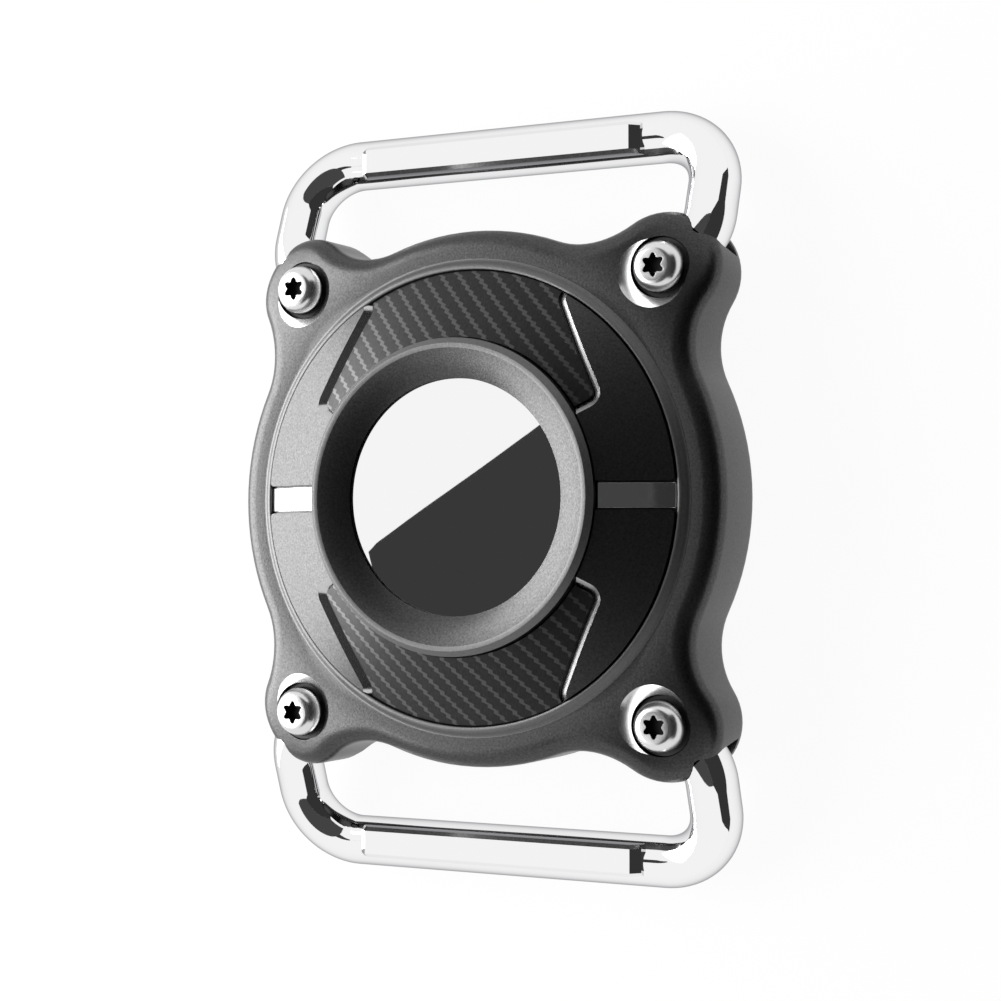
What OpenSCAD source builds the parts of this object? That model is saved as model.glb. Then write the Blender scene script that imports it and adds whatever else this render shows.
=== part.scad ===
// Tracker tag holder: a screwed two-part housing between two swept wire loops,
// with a window ring over the polished face of the tag.
// The loops' lowest lines lie on the XY plane, the window looks along +Z and the loops stand
// at +Y and -Y.

/* [Tag] */
// Diameter of the tracker tag
tag_d = 31.9; // [31:0.1:32.6]
// Thickness of the tag at its centre
tag_t = 8; // [7.6:0.1:8.4]
// Diameter of the polished battery cover of the tag
tag_cover_d = 26; // [25.7:0.1:26.6]
// Diameter of the coin cell
cell_d = 20; // [19:0.1:21]
// Thickness of the coin cell
cell_t = 3.2; // [2.8:0.1:3.4]
// Thickness of the tag's circuit board
board_t = 0.8; // [0.6:0.1:1]
// Diameter of the sounder under the board
sounder_d = 12; // [9:0.5:16]
// Thickness of the sounder
sounder_t = 1; // [0.6:0.1:1.2]

/* [Window ring] */
// Clear diameter of the window
window_d = 25; // [24:0.1:25.4]
// Width of the funnel round the window, seen from the front
funnel_w = 3.05; // [2.6:0.05:3.4]
// Depth of the window below the lip
funnel_h = 1.7; // [1.2:0.1:2]
// Width of the flat lip
lip_w = 0.5; // [0.3:0.1:0.8]
// Bevel outside the lip
ring_bevel = 0.6; // [0.3:0.1:0.8]
// Thickness of the ring at the edge of the window
window_edge_t = 0.3; // [0.2:0.05:0.4]
// Width of the flange that the centre disc holds down
flange_w = 1.55; // [1.2:0.05:1.8]
// Thickness of the flange
flange_t = 0.8; // [0.6:0.1:1]

/* [Centre disc] */
// Outer diameter of the centre disc
disc_d = 48.2; // [47.6:0.1:48.8]
// Rise of the disc's cone from its edge to the ring
disc_rise = 3.05; // [2.4:0.05:3.4]
// Thickness of the disc, square to the cone
disc_t = 1.2; // [1.1:0.05:1.4]
// Step from the lip down to the disc
lip_step = 0.95; // [0.7:0.05:1.1]
// Depth of the inlays below the wings
inlay_sink = 0.55; // [0.4:0.05:0.65]
// Thickness of the inlays
inlay_t = 0.3; // [0.2:0.05:0.35]
// Angle of the wing tips at the disc's edge, from the X axis
wing_tip_a = 61; // [56:1:64]
// Angle of the wing roots at the ring, from the X axis
wing_root_a = 29.5; // [26:0.5:33]
// Distance of the wings' inner corners from the centre
wing_corner_r = 19.75; // [19:0.05:20.5]
// Rounding of the wings' inner corners
wing_fillet_r = 1.6; // [1:0.1:2]
// Rounding of the wing tips
wing_tip_r = 0.9; // [0.5:0.1:1.2]

/* [Accent bars] */
// Width of the accent bars
bar_w = 2.6; // [2:0.1:3.4]
// Thickness of the accent bars
bar_t = 0.4; // [0.3:0.05:0.5]
// Depth of the bars below the wings
bar_sink = 0.3; // [0.2:0.05:0.4]
// Gap along each side of a bar
bar_gap = 0.2; // [0.1:0.05:0.3]
// Length of the slope at the outer end of a bar
bar_slope_l = 0.65; // [0.4:0.05:0.8]
// Flare of the slot at the disc's edge
bar_flare_r = 0.6; // [0.4:0.1:0.8]

/* [Housing] */
// Height from the lowest line of the loops to the lip of the ring
total_h = 17.75; // [17.4:0.05:18.4]
// Height of the back above the lowest line of the loops
back_lift = 2.4; // [2:0.1:2.8]
// Diameter of the round part of the housing
body_d = 57.3; // [56.6:0.1:58.2]
// Diameter of the four lobes
lobe_d = 12; // [11.8:0.1:13]
// Radius of the hollows beside the lobes
lobe_blend_r = 8.5; // [7:0.1:10]
// Drop from the disc's edge to the housing's face
face_drop = 1; // [0.8:0.05:1.3]
// Radius of the crown of the face, outside the bead
crown_r = 24.75; // [23:0.25:32]
// Rounding of the edge between face and wall
edge_r = 2; // [1.4:0.1:2.2]
// Width of the bead round the disc
bead_w = 1.2; // [1:0.05:1.3]
// Height of the bead over the face
bead_h = 0.7; // [0.5:0.05:0.8]
// Diameter of the bore that takes the tag and its cradle
bore_d = 34.8; // [34.6:0.1:35]
// Width of the land between the bore and the relief groove
land_w = 2.2; // [2:0.1:2.4]
// Width of the relief groove
relief_w = 5.4; // [4:0.1:5.8]
// Thickness of the shell over the relief groove
relief_roof_t = 1.9; // [1.6:0.1:2.4]
// Wall of the lobe pockets at the lobe
pocket_wall = 1.1; // [1:0.05:1.3]

/* [Rear cover] */
// Thickness of the rear cover
rear_t = 1.5; // [1.4:0.05:1.8]
// Rounding of the rear cover's outer edge
rear_edge_r = 0.9; // [0.6:0.1:1.1]
// Inset of the rear cover inside the wall
rear_inset = 0.15; // [0.1:0.05:0.3]
// Width of the spigot that enters the bore
spigot_w = 3.6; // [3:0.1:4.2]
// Diameter of the seal's cord
seal_cord_d = 1; // [0.8:0.05:1.1]
// Squeeze of the seal
seal_squeeze = 0.15; // [0.1:0.05:0.2]

/* [Cradle and window seal] */
// Floor thickness of the silicone cradle
cradle_t = 1.2; // [0.9:0.1:1.5]
// Height of the cradle's wall above its floor
cradle_wall_h = 4.6; // [3:0.1:5]
// Thickness of the window seal
window_seal_t = 0.24; // [0.2:0.01:0.25]
// Width of the window seal
window_seal_w = 1.4; // [1:0.1:1.5]

/* [Screws] */
// Distance between screw centres, left to right
screw_dx = 42.98; // [42.4:0.02:43.4]
// Distance between screw centres, top to bottom
screw_dy = 46.86; // [46:0.02:47.6]
// Thread diameter of the screws
screw_d = 3; // [2.5:0.1:3.2]
// Rise of the screw thread in one turn
thread_pitch = 0.5; // [0.45:0.05:0.5]
// Diameter of the screw heads
head_d = 5.5; // [5:0.1:5.7]
// Height of the screw heads
head_h = 2.4; // [2:0.1:2.6]
// Tip to tip size of the six-lobe recess
recess_d = 2.5; // [2:0.1:2.9]
// Depth of the recess
recess_h = 1.3; // [1:0.1:1.6]
// Diameter of the sunk seat round each head
seat_d = 6.4; // [6.2:0.1:6.8]
// Bevel round each seat
seat_bevel = 0.85; // [0.5:0.05:0.9]
// Thickness of the nylon washers
washer_t = 0.5; // [0.4:0.05:0.8]
// Thickness of the housing under the washers
web_t = 1.7; // [1.5:0.05:2]
// Height of the posts that carry the loops' eyes
post_h = 2.15; // [2:0.05:2.4]
// Outer diameter of the brass inserts
insert_d = 4.2; // [4.2:0.1:4.6]
// Distance of the inserts above the back
insert_floor_t = 0.9; // [0.8:0.05:1]

/* [Strap loops] */
// Diameter of the wire
wire_d = 5.52; // [5:0.02:5.6]
// Distance between the legs of a loop, centre to centre
leg_dx = 50.2; // [49.8:0.1:50.6]
// Distance between the two bars, centre to centre
bars_dy = 77; // [74:0.5:84]
// Bend radius at the ends of the bars
bend_r = 6.45; // [5.5:0.05:8]
// Bend radius of the legs at the eyes
toe_r = 6.5; // [6:0.1:7]
// Angle of the bend at the eyes
toe_a = 32; // [30:1:34]
// Distance from the screw to the end of the bend, along Y
toe_dy = 2.9; // [2.6:0.1:3.1]
// Diameter of the flattened eyes
eye_d = 8.6; // [8.4:0.1:8.8]
// Thickness of the flattened eyes
eye_t = 2.4; // [2.2:0.1:2.6]
// Length of the pad on the bar
pad_l = 34; // [28:0.5:36]
// Width of the pad
pad_w = 3.35; // [2.8:0.05:4]
// Height of the pad over the wire
pad_h = 1.2; // [0.8:0.05:1.4]
// Shift of the pad toward the housing
pad_shift = 0.35; // [0:0.05:0.5]
// Bevel of the pad's edges
pad_bevel = 0.4; // [0.2:0.05:0.6]

/* [Fits] */
// Gap between pieces that are bonded or clamped together
seat_gap = 0.05; // [0.03:0.01:0.06]
// Running gap of a screw in its insert, on the radius
thread_gap = 0.05; // [0.03:0.01:0.08]
// Gap of a screw in the housing and in an eye, on the radius
hole_gap = 0.2; // [0.15:0.01:0.3]
// Gap between the spigot and the bore, on the radius
spigot_gap = 0.15; // [0.1:0.01:0.2]
// Gap between the cradle and the bore, and the cradle and the tag, on the radius
cradle_gap = 0.1; // [0.08:0.01:0.15]
// Gap between a loop's wire and the housing
wire_gap = 0.15; // [0.1:0.01:0.2]
// Gap between the ring and the disc, and the disc and the bead, on the radius
disc_gap = 0.1; // [0.06:0.01:0.15]
// Gap round the battery cover in the tag's shell, on the radius
twist_gap = 0.08; // [0.05:0.01:0.1]

/* [Hidden] */

$fn = 64;
eps = 0.01;
far = 40;

// Heights from the back up to the screw heads
rear_in_z = back_lift + rear_t;
joint_z = rear_in_z + seat_gap;
post_top_z = rear_in_z + post_h;
eye_z = post_top_z + seat_gap;
eye_top_z = eye_z + eye_t;
pocket_roof_z = eye_top_z + 2 * seat_gap;
washer_z = pocket_roof_z + web_t;
head_z = washer_z + washer_t;
head_top_z = head_z + head_h;
insert_z = back_lift + insert_floor_t;
tip_z = insert_z - 2 * seat_gap;

// Heights from the lip down to the tag
window_z = total_h - funnel_h;
ring_under_z = window_z - window_edge_t;
tag_top_z = ring_under_z - seat_gap;
tag_z = tag_top_z - tag_t;
spigot_top_z = tag_z - cradle_t;

// Radii and heights of the window ring
window_r = window_d / 2;
funnel_r = window_r + funnel_w;
ring_r = funnel_r + lip_w + ring_bevel;
flange_r = ring_r + flange_w;
bore_r = bore_d / 2;

// The cone of the centre disc
disc_in_r = ring_r + disc_gap;
disc_out_r = disc_d / 2;
disc_in_z = total_h - lip_step;
disc_out_z = disc_in_z - disc_rise;
cone_m = disc_rise / (disc_out_r - disc_in_r);
disc_v = disc_t * sqrt(1 + cone_m * cone_m);
seat_recess_r = flange_r + disc_gap;
flange_z = cone_z(seat_recess_r) - disc_v - flange_t + seat_gap;
flange_top_z = flange_z + flange_t;
flange_seat_z = flange_z - seat_gap;
disc_seat_z = flange_top_z + seat_gap;

// The face and the bead
face_z = disc_out_z - face_drop;
bead_in_r = disc_out_r + disc_gap;
bead_mid_r = bead_in_r + bead_w / 2;
bead_out_r = bead_in_r + bead_w;
bead_z = face_z + bead_h - bead_w / 2;

// The lobes and the hollows beside them
body_r = body_d / 2;
lobe_r = lobe_d / 2;
screw_x = screw_dx / 2;
screw_y = screw_dy / 2;
lobe_dist = norm([screw_x, screw_y]);
lobe_a = atan2(screw_y, screw_x);
blend_dist = body_r + lobe_blend_r;
blend_a = acos((pow(lobe_dist, 2) + pow(blend_dist, 2) - pow(lobe_r + lobe_blend_r, 2))
    / (2 * lobe_dist * blend_dist));
pocket_r = lobe_r - pocket_wall;

// The loops: from the bar at the lowest line up to the eyes
wire_r = wire_d / 2;
bar_y = bars_dy / 2;
leg_x = leg_dx / 2;
eye_mid_z = eye_z + eye_t / 2;
toe_y = screw_y + toe_dy;
sweep_a = atan2(eye_mid_z - wire_r, bar_y - toe_y);
toe_v = (bar_y - toe_y) / cos(sweep_a);
leg_v = toe_v - toe_r * sin(toe_a);
channel_r = wire_r + wire_gap;
forge_r = pocket_r + wire_gap;
web_r = (eye_d / 2 + pocket_r) / 2;

// The seal's cord lies flattened between the groove's floor and the land
seal_h = seal_cord_d - seal_squeeze;
seal_z = joint_z - seal_h - seat_gap;
seal_mid_r = bore_r + land_w / 2;
seal_w = seal_cord_d + 2 * seat_gap;

// The sloping underside of the ring, where the window seal is bonded
tag_r = tag_d / 2;
ring_flat_r = window_r + 0.9;
ring_shoulder_r = tag_r - 0.95;
ring_hip_r = tag_r + 0.25;
slope_m = 0.65 / 1.6;
function seal_slope_z(r) = ring_under_z - slope_m * (r - ring_flat_r);

// The tag's outer form: a flat belly, a round side and a shoulder down from the battery cover
belly_r = tag_r - 6.95;
waist_z = tag_z + 4.5;
rim_r = tag_cover_d / 2 + 0.2;
shell_top_z = tag_top_z - 0.4;
function shell_low(a) = [belly_r + (tag_r - belly_r) * sin(a), waist_z - (waist_z - tag_z) * cos(a)];
function shell_high(a) = [rim_r + (tag_r - rim_r) * cos(a), waist_z + (shell_top_z - waist_z) * sin(a)];

// Levels inside the tag
shell_t = 1;
shell_floor_z = tag_z + shell_t;
board_z = shell_floor_z + sounder_t + 2 * seat_gap;
board_top_z = board_z + board_t;
cover_t = 0.5;
cell_top_z = tag_top_z - cover_t - seat_gap;
cell_z = cell_top_z - cell_t;
board_r = tag_r - 3.75;
cover_r = tag_cover_d / 2;
skirt_z = shell_top_z - 1.05;

// Places of the four screws: name, x, y
SCREWS = [["upper_left", -screw_x, screw_y], ["upper_right", screw_x, screw_y],
    ["lower_left", -screw_x, -screw_y], ["lower_right", screw_x, -screw_y]];

// Height of the top of the centre disc at radius r
function cone_z(r) = disc_in_z - cone_m * (r - disc_in_r);

// Height and slope of the housing's crowned face at radius r
function crown_z(r) = let(d = max(0, r - bead_out_r)) face_z - crown_r + sqrt(crown_r * crown_r - d * d);
function crown_m(r) = let(d = max(0, r - bead_out_r)) d / sqrt(crown_r * crown_r - d * d);

// Points on an arc with their outward normals: [x, y, nx, ny]
function arc_part(c, r, a0, a1, step, side) = let(n = ceil(abs(a1 - a0) / step))
    [for (i = [0:n - 1]) let(a = a0 + (a1 - a0) * i / n)
        [c[0] + r * cos(a), c[1] + r * sin(a), side * cos(a), side * sin(a)]];

function polar(r, a) = [r * cos(a), r * sin(a)];
function heading(p, q) = atan2(q[1] - p[1], q[0] - p[0]);

// A quarter of the outline: bulge, hollow, lobe, hollow, bulge
function quarter() =
    let(low = lobe_a - blend_a, high = lobe_a + blend_a,
        lobe = [screw_x, screw_y],
        c_low = polar(blend_dist, low), c_high = polar(blend_dist, high),
        to_low = heading(lobe, c_low), to_high = heading(lobe, c_high),
        end = high + 180)
    concat(
        arc_part([0, 0], body_r, 0, low, 5, 1),
        arc_part(c_low, lobe_blend_r, low + 180, to_low + 180, 9, -1),
        arc_part(lobe, lobe_r, to_low, to_high, 12, 1),
        arc_part(c_high, lobe_blend_r, to_high + 180, end, 9, -1),
        arc_part([0, 0], body_r, high, 90, 5, 1),
        [[0, body_r, 0, 1]]);

QUARTER = quarter();
LAST = len(QUARTER) - 1;

// The whole outline, by mirroring the quarter
OUTLINE = concat(
    [for (i = [0:LAST - 1]) QUARTER[i]],
    [for (i = [LAST:-1:1]) let(p = QUARTER[i]) [-p[0], p[1], -p[2], p[3]]],
    [for (i = [0:LAST - 1]) let(p = QUARTER[i]) [-p[0], -p[1], -p[2], -p[3]]],
    [for (i = [LAST:-1:1]) let(p = QUARTER[i]) [p[0], -p[1], p[2], -p[3]]]);

// An outline point moved inward by d, at height z
function inset(p, d, z) = [p[0] - p[2] * d, p[1] - p[3] * d, z];

// Slope of the face along the outline's normal, as an angle
function lean(p) = let(r = norm([p[0], p[1]]))
    atan(crown_m(r - edge_r) * (p[0] * p[2] + p[1] * p[3]) / r);
function rim(p) = inset(p, edge_r * (1 - sin(lean(p))), 0);
function rim_z(p) = let(q = rim(p)) crown_z(norm([q[0], q[1]]));

// Step k of the rounded edge, from the wall (0) to the face (1)
function edge_pt(p, k) = let(a = k * (90 - lean(p)))
    inset(p, edge_r * (1 - cos(a)), rim_z(p) - edge_r * (cos(lean(p)) - sin(a)));

// Step k of the crown, from the rounded edge (0) to the bead (1)
function crown_pt(p, k) = let(q = rim(p), r = norm([q[0], q[1]]), s = r + (bead_mid_r - r) * k)
    [q[0] * s / r, q[1] * s / r, crown_z(s)];

// The outline drawn in to a small ring, where a flat cap closes a loft away from all bores
hub_r = 8;
function hub(p, z) = let(r = norm([p[0], p[1]])) [hub_r * p[0] / r, hub_r * p[1] / r, z];

// A closed solid through rings of equal length, lowest ring first
module loft(rings) {
    n = len(rings[0]);
    top = (len(rings) - 1) * n;
    polyhedron(
        points = [for (ring = rings) for (p = ring) p],
        faces = concat(
            [[for (i = [0:n - 1]) i]],
            [for (k = [0:len(rings) - 2]) for (i = [0:n - 1]) let(j = (i + 1) % n)
                [k * n + i, (k + 1) * n + i, k * n + j]],
            [for (k = [0:len(rings) - 2]) for (i = [0:n - 1]) let(j = (i + 1) % n)
                [k * n + j, (k + 1) * n + i, (k + 1) * n + j]],
            [[for (i = [n - 1:-1:0]) top + i]]));
}

// A ring-shaped solid turned from a profile of [radius, height] points
module turned(profile) {
    rotate_extrude($fn = 128) polygon(profile);
}

// Copies its children to the four screw places
module at_screws() {
    for (s = SCREWS) translate([s[1], s[2], 0]) children();
}

// The wire of one loop, from the bar to the ends of its legs
module loop_wire() {
    r = wire_r;
    translate([0, bar_y, wire_r]) rotate([-sweep_a, 0, 0]) {
        translate([bend_r - leg_x, 0, 0]) rotate([0, 90, 0]) cylinder(r = r, h = leg_dx - 2 * bend_r);
        for (m = [0, 1]) mirror([m, 0, 0]) {
            translate([leg_x - bend_r, -bend_r, 0])
                rotate_extrude(angle = 90) translate([bend_r, 0]) circle(r);
            translate([leg_x, -leg_v, 0]) rotate([-90, 0, 0]) cylinder(r = r, h = leg_v - bend_r);
            translate([leg_x - toe_r, -leg_v, 0])
                rotate_extrude(angle = toe_a, start = -toe_a) translate([toe_r, 0]) circle(r);
        }
    }
}

// A leg's middle line at bend angle a: a point, and the level direction across it
function leg_at(a) = [leg_x - toe_r + toe_r * cos(a),
    bar_y - (leg_v + toe_r * sin(a)) * cos(sweep_a),
    wire_r + (leg_v + toe_r * sin(a)) * sin(sweep_a)];
function leg_across(a) = let(v = [cos(a) * cos(sweep_a), -sin(a), 0]) v / norm(v);

// Upright section of a leg's channel: half round at the wire, then straight walls down or up
function leg_ring(c, a, way) =
    let(across = leg_across(a),
        stretch = 1 / sqrt(1 - pow(cos(a) * sin(sweep_a), 2)),
        start = way > 0 ? 0 : 180,
        end_z = way > 0 ? -1 : far,
        arc = [for (t = [start:15:start + 180])
            c + channel_r * cos(t) * across + [0, 0, channel_r * stretch * sin(t)]])
    concat(arc, [[arc[12][0], arc[12][1], end_z], [arc[0][0], arc[0][1], end_z]]);

// Channels for the four legs, open downward (way 1) or upward (way -1)
module leg_channels(way) {
    start = [leg_x, bar_y - bend_r * cos(sweep_a), wire_r + bend_r * sin(sweep_a)];
    for (m = [0, 1]) mirror([m, 0, 0])
        for (n = [0, 1]) mirror([0, n, 0])
            loft(concat(
                [leg_ring(start, 0, way)],
                [for (k = [0:5]) leg_ring(leg_at(toe_a * k / 4), toe_a * k / 4, way)]));
}

module front_cover() {
    color("#4a4a4c") difference() {
        union() {
            loft(concat(
                [[for (p = OUTLINE) hub(p, joint_z)], [for (p = OUTLINE) inset(p, 0, joint_z)]],
                [for (k = [0:5]) [for (p = OUTLINE) edge_pt(p, k / 5)]],
                [for (k = [1:4]) [for (p = OUTLINE) crown_pt(p, k / 4)]],
                [[for (p = OUTLINE) hub(p, face_z)]]));
            // Cone under the disc, with the rounded bead at its foot
            turned(concat(
                [[bore_r - 1, face_z - bead_w], [bead_out_r, face_z - bead_w]],
                [for (a = [0:15:150]) [bead_mid_r, bead_z] + polar(bead_w / 2, a)],
                [[disc_out_r - bead_w / 2, bead_z + bead_w / 4],
                    [seat_recess_r, disc_in_z], [bore_r - 1, disc_in_z]]));
        }
        // Seat of the centre disc and of the ring's flange
        turned([[0, disc_seat_z - seat_gap], [seat_recess_r, disc_seat_z - seat_gap],
            [seat_recess_r, cone_z(seat_recess_r) - disc_v - seat_gap],
            [bead_in_r, cone_z(bead_in_r) - disc_v - seat_gap],
            [bead_in_r, total_h], [0, total_h]]);
        translate([0, 0, flange_seat_z]) cylinder(r = flange_r + seat_gap, h = far, $fn = 128);
        translate([0, 0, -eps]) cylinder(r = bore_r, h = far, $fn = 128);
        // Relief groove behind the face
        turned([[bore_r + land_w, 0], [bore_r + land_w + relief_w, 0],
            [bore_r + land_w + relief_w, face_z - relief_roof_t],
            [bore_r + land_w, cone_z(bore_r + land_w) - disc_v - relief_roof_t]]);
        at_screws() {
            cylinder(r = screw_d / 2 + hole_gap, h = far);
            translate([0, 0, washer_z]) cylinder(d = seat_d, h = far);
            translate([0, 0, crown_z(lobe_dist) - seat_bevel])
                cylinder(d1 = seat_d, d2 = seat_d + 4 * seat_bevel, h = 2 * seat_bevel);
            cylinder(r = pocket_r, h = pocket_roof_z);
        }
        // The legs' channels stop at the webs under the screws
        difference() {
            leg_channels(1);
            at_screws() translate([0, 0, pocket_roof_z]) cylinder(r = web_r, h = far);
        }
    }
}

module rear_cover() {
    lip = rear_inset + rear_edge_r;
    color("#3c3c3e") difference() {
        union() {
            loft(concat(
                [[for (p = OUTLINE) hub(p, back_lift)]],
                [for (k = [0:3]) [for (p = OUTLINE)
                    inset(p, lip - rear_edge_r * sin(30 * k), back_lift + rear_edge_r * (1 - cos(30 * k)))]],
                [[for (p = OUTLINE) inset(p, rear_inset, rear_in_z)],
                    [for (p = OUTLINE) hub(p, rear_in_z)]]));
            turned([[bore_r - spigot_gap - spigot_w, back_lift + rear_t / 2],
                [bore_r - spigot_gap, back_lift + rear_t / 2],
                [bore_r - spigot_gap, spigot_top_z], [bore_r - spigot_gap - spigot_w, spigot_top_z]]);
            at_screws() translate([0, 0, back_lift + rear_t / 2])
                cylinder(d = eye_d, h = post_h + rear_t / 2);
        }
        // Groove for the seal under the land of the front cover
        turned([[seal_mid_r - seal_w / 2, seal_z], [seal_mid_r + seal_w / 2, seal_z],
            [seal_mid_r + seal_w / 2, far], [seal_mid_r - seal_w / 2, far]]);
        at_screws() {
            translate([0, 0, tip_z - seat_gap]) cylinder(r = screw_d / 2 + hole_gap, h = far);
            translate([0, 0, insert_z]) cylinder(d = insert_d + seat_gap, h = far);
        }
        difference() {
            leg_channels(-1);
            at_screws() cylinder(r = web_r, h = far);
        }
    }
}

module cover_seal() {
    color("#1c1c1c") intersection() {
        rotate_extrude($fn = 128) translate([seal_mid_r, seal_z + seal_h / 2]) circle(d = seal_cord_d);
        translate([0, 0, seal_z]) cylinder(r = far, h = seal_h);
    }
}

// Corners and roundings of the opening between the wings, right half, for a wall moved out by d
function wing_line_a() = heading(polar(wing_corner_r, wing_root_a), polar(disc_out_r, wing_tip_a));

// Opening between the wings: the carbon shows in it; d moves the wall toward the wings
function opening_half(d) =
    let(corner = polar(wing_corner_r, wing_root_a),
        line_a = wing_line_a(),
        root_a = wing_root_a + 180,
        bis_a = (line_a + root_a) / 2,
        fillet_c = corner + polar(wing_fillet_r / sin((root_a - line_a) / 2), bis_a),
        tip = polar(disc_out_r, wing_tip_a),
        tip_c = tip + polar(wing_tip_r, line_a - 90) - polar(wing_tip_r * 1.2, line_a),
        r_in = wing_fillet_r + d, r_tip = wing_tip_r - d,
        last = tip_c + polar(r_tip, line_a + 18) + polar(4, line_a - 72))
    concat(
        [polar(disc_in_r - 2, wing_root_a) + polar(d, wing_root_a - 90)],
        [for (i = [0:5]) fillet_c + polar(r_in, wing_root_a - 90 + i * (line_a - wing_root_a) / 5)],
        [for (i = [1:3]) let(k = i / 4)
            (fillet_c + polar(r_in, line_a - 90)) * (1 - k) + (tip_c + polar(r_tip, line_a + 90)) * k],
        [for (i = [0:4]) tip_c + polar(r_tip, line_a + 90 - i * 18)],
        [last, [last[0], disc_out_r + 3]]);

function opening(d) = let(half = opening_half(d))
    concat(half, [for (i = [len(half) - 1:-1:0]) [-half[i][0], half[i][1]]]);

// The opening as a solid whose walls lean at 45 degrees, level with the wings at d = 0
module opening_solid() {
    low = -inlay_sink - inlay_t - 2 * seat_gap;
    high = inlay_sink;
    loft(concat(
        [[for (p = opening(low)) [p[0], p[1], 0]]],
        [for (d = [low, high]) [for (p = opening(d)) [p[0], p[1], cone_z(norm(p)) + d]]],
        [[for (p = opening(high)) [p[0], p[1], 2 * total_h]]]));
}

module centre_disc() {
    color("#4a4a4c") difference() {
        turned([[disc_in_r, disc_seat_z], [disc_in_r, disc_in_z], [disc_out_r, disc_out_z],
            [disc_out_r, disc_out_z - disc_v], [seat_recess_r, cone_z(seat_recess_r) - disc_v],
            [seat_recess_r, disc_seat_z]]);
        for (m = [0, 1]) mirror([0, m, 0]) intersection() {
            turned(cone_band(-inlay_sink - seat_gap - inlay_t, 3, 0));
            opening_solid();
        }
        for (m = [0, 1]) mirror([m, 0, 0]) intersection() {
            turned(cone_band(-bar_sink - bar_t - seat_gap, 3, 0));
            translate([0, 0, -far / 2]) linear_extrude(2 * far) bar_slot();
        }
    }
}

// Profile of a layer that follows the cone, between two offsets from its top, short by trim
function cone_band(low, high, trim) =
    let(a = disc_in_r + trim, b = disc_out_r - trim, o = trim == 0 ? 1 : 0)
    [[a - o, cone_z(a - o) + low], [b + o, cone_z(b + o) + low],
        [b + o, cone_z(b + o) + high], [a - o, cone_z(a - o) + high]];

// The slot for a bar, flared where it meets the disc's edge
module bar_slot() {
    w = bar_w / 2 + bar_gap;
    translate([disc_in_r - 1, -w]) square([disc_out_r - disc_in_r + 2, 2 * w]);
    for (m = [0, 1]) mirror([0, m]) difference() {
        translate([disc_out_r - bar_flare_r, w - eps]) square([2, bar_flare_r]);
        translate([disc_out_r - bar_flare_r, w + bar_flare_r]) circle(bar_flare_r);
    }
}

module accent_bar(side) {
    color("#d8d8da") scale([side, 1, 1]) intersection() {
        turned([[disc_in_r + seat_gap, cone_z(disc_in_r) - bar_sink - bar_t],
            [disc_out_r - seat_gap, cone_z(disc_out_r) - bar_sink - bar_t],
            [disc_out_r - seat_gap, cone_z(disc_out_r) - bar_sink - bar_t / 2],
            [disc_out_r - bar_slope_l, cone_z(disc_out_r - bar_slope_l) - bar_sink],
            [disc_in_r + seat_gap, cone_z(disc_in_r) - bar_sink]]);
        translate([0, -bar_w / 2, 0]) cube([far, bar_w, far]);
    }
}

module carbon_inlay(side) {
    color("#2c2c2e") intersection() {
        turned(cone_band(-inlay_sink - inlay_t, -inlay_sink, seat_gap));
        scale([1, side, 1]) translate([0, 0, -far / 2]) linear_extrude(2 * far)
            polygon(opening(-inlay_sink - inlay_t - 2 * seat_gap));
    }
}

module window_ring() {
    color("#4a4a4c") turned([[window_r, ring_under_z], [window_r, window_z], [funnel_r, total_h],
        [funnel_r + lip_w, total_h], [ring_r, total_h - ring_bevel], [ring_r, flange_top_z],
        [flange_r, flange_top_z], [flange_r, flange_z], [ring_hip_r, flange_z],
        [ring_shoulder_r, seal_slope_z(ring_shoulder_r)], [ring_flat_r, ring_under_z]]);
}

module window_seal() {
    a = ring_shoulder_r - window_seal_w;
    b = ring_shoulder_r;
    color("#161616") turned([[a, seal_slope_z(a) - seat_gap], [b, seal_slope_z(b) - seat_gap],
        [b, seal_slope_z(b) - seat_gap - window_seal_t], [a, seal_slope_z(a) - seat_gap - window_seal_t]]);
}

module strap_loop(side) {
    color("#e8e8ea") scale([1, side, 1]) difference() {
        union() {
            difference() {
                loop_wire();
                // The wire is forged flat round the screw
                for (s = [-screw_x, screw_x]) translate([s, screw_y, 0]) {
                    translate([0, 0, eye_top_z]) cylinder(r = forge_r, h = far);
                    cylinder(r = forge_r, h = eye_z);
                }
            }
            for (s = [-screw_x, screw_x]) translate([s, screw_y, eye_z]) cylinder(d = eye_d, h = eye_t);
            pad();
        }
        for (s = [-screw_x, screw_x]) translate([s, screw_y, 0])
            cylinder(r = screw_d / 2 + hole_gap, h = far);
    }
}

// The raised pad on the bar: a bevelled bar of flats
module pad() {
    top = wire_d + pad_h;
    y = bar_y - pad_shift;
    intersection() {
        translate([-pad_l / 2, 0, 0]) rotate([90, 0, 90]) linear_extrude(pad_l) polygon([
            [y - pad_w / 2, wire_r], [y + pad_w / 2, wire_r], [y + pad_w / 2, top - pad_bevel],
            [y + pad_w / 2 - pad_bevel, top], [y - pad_w / 2 + pad_bevel, top],
            [y - pad_w / 2, top - pad_bevel]]);
        rotate([90, 0, 0]) translate([0, 0, -bar_y - pad_w]) linear_extrude(2 * pad_w) polygon([
            [-pad_l / 2, 0], [pad_l / 2, 0], [pad_l / 2, top - 3 * pad_bevel],
            [pad_l / 2 - 2 * pad_bevel, top + eps], [2 * pad_bevel - pad_l / 2, top + eps],
            [-pad_l / 2, top - 3 * pad_bevel]]);
    }
}

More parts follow.
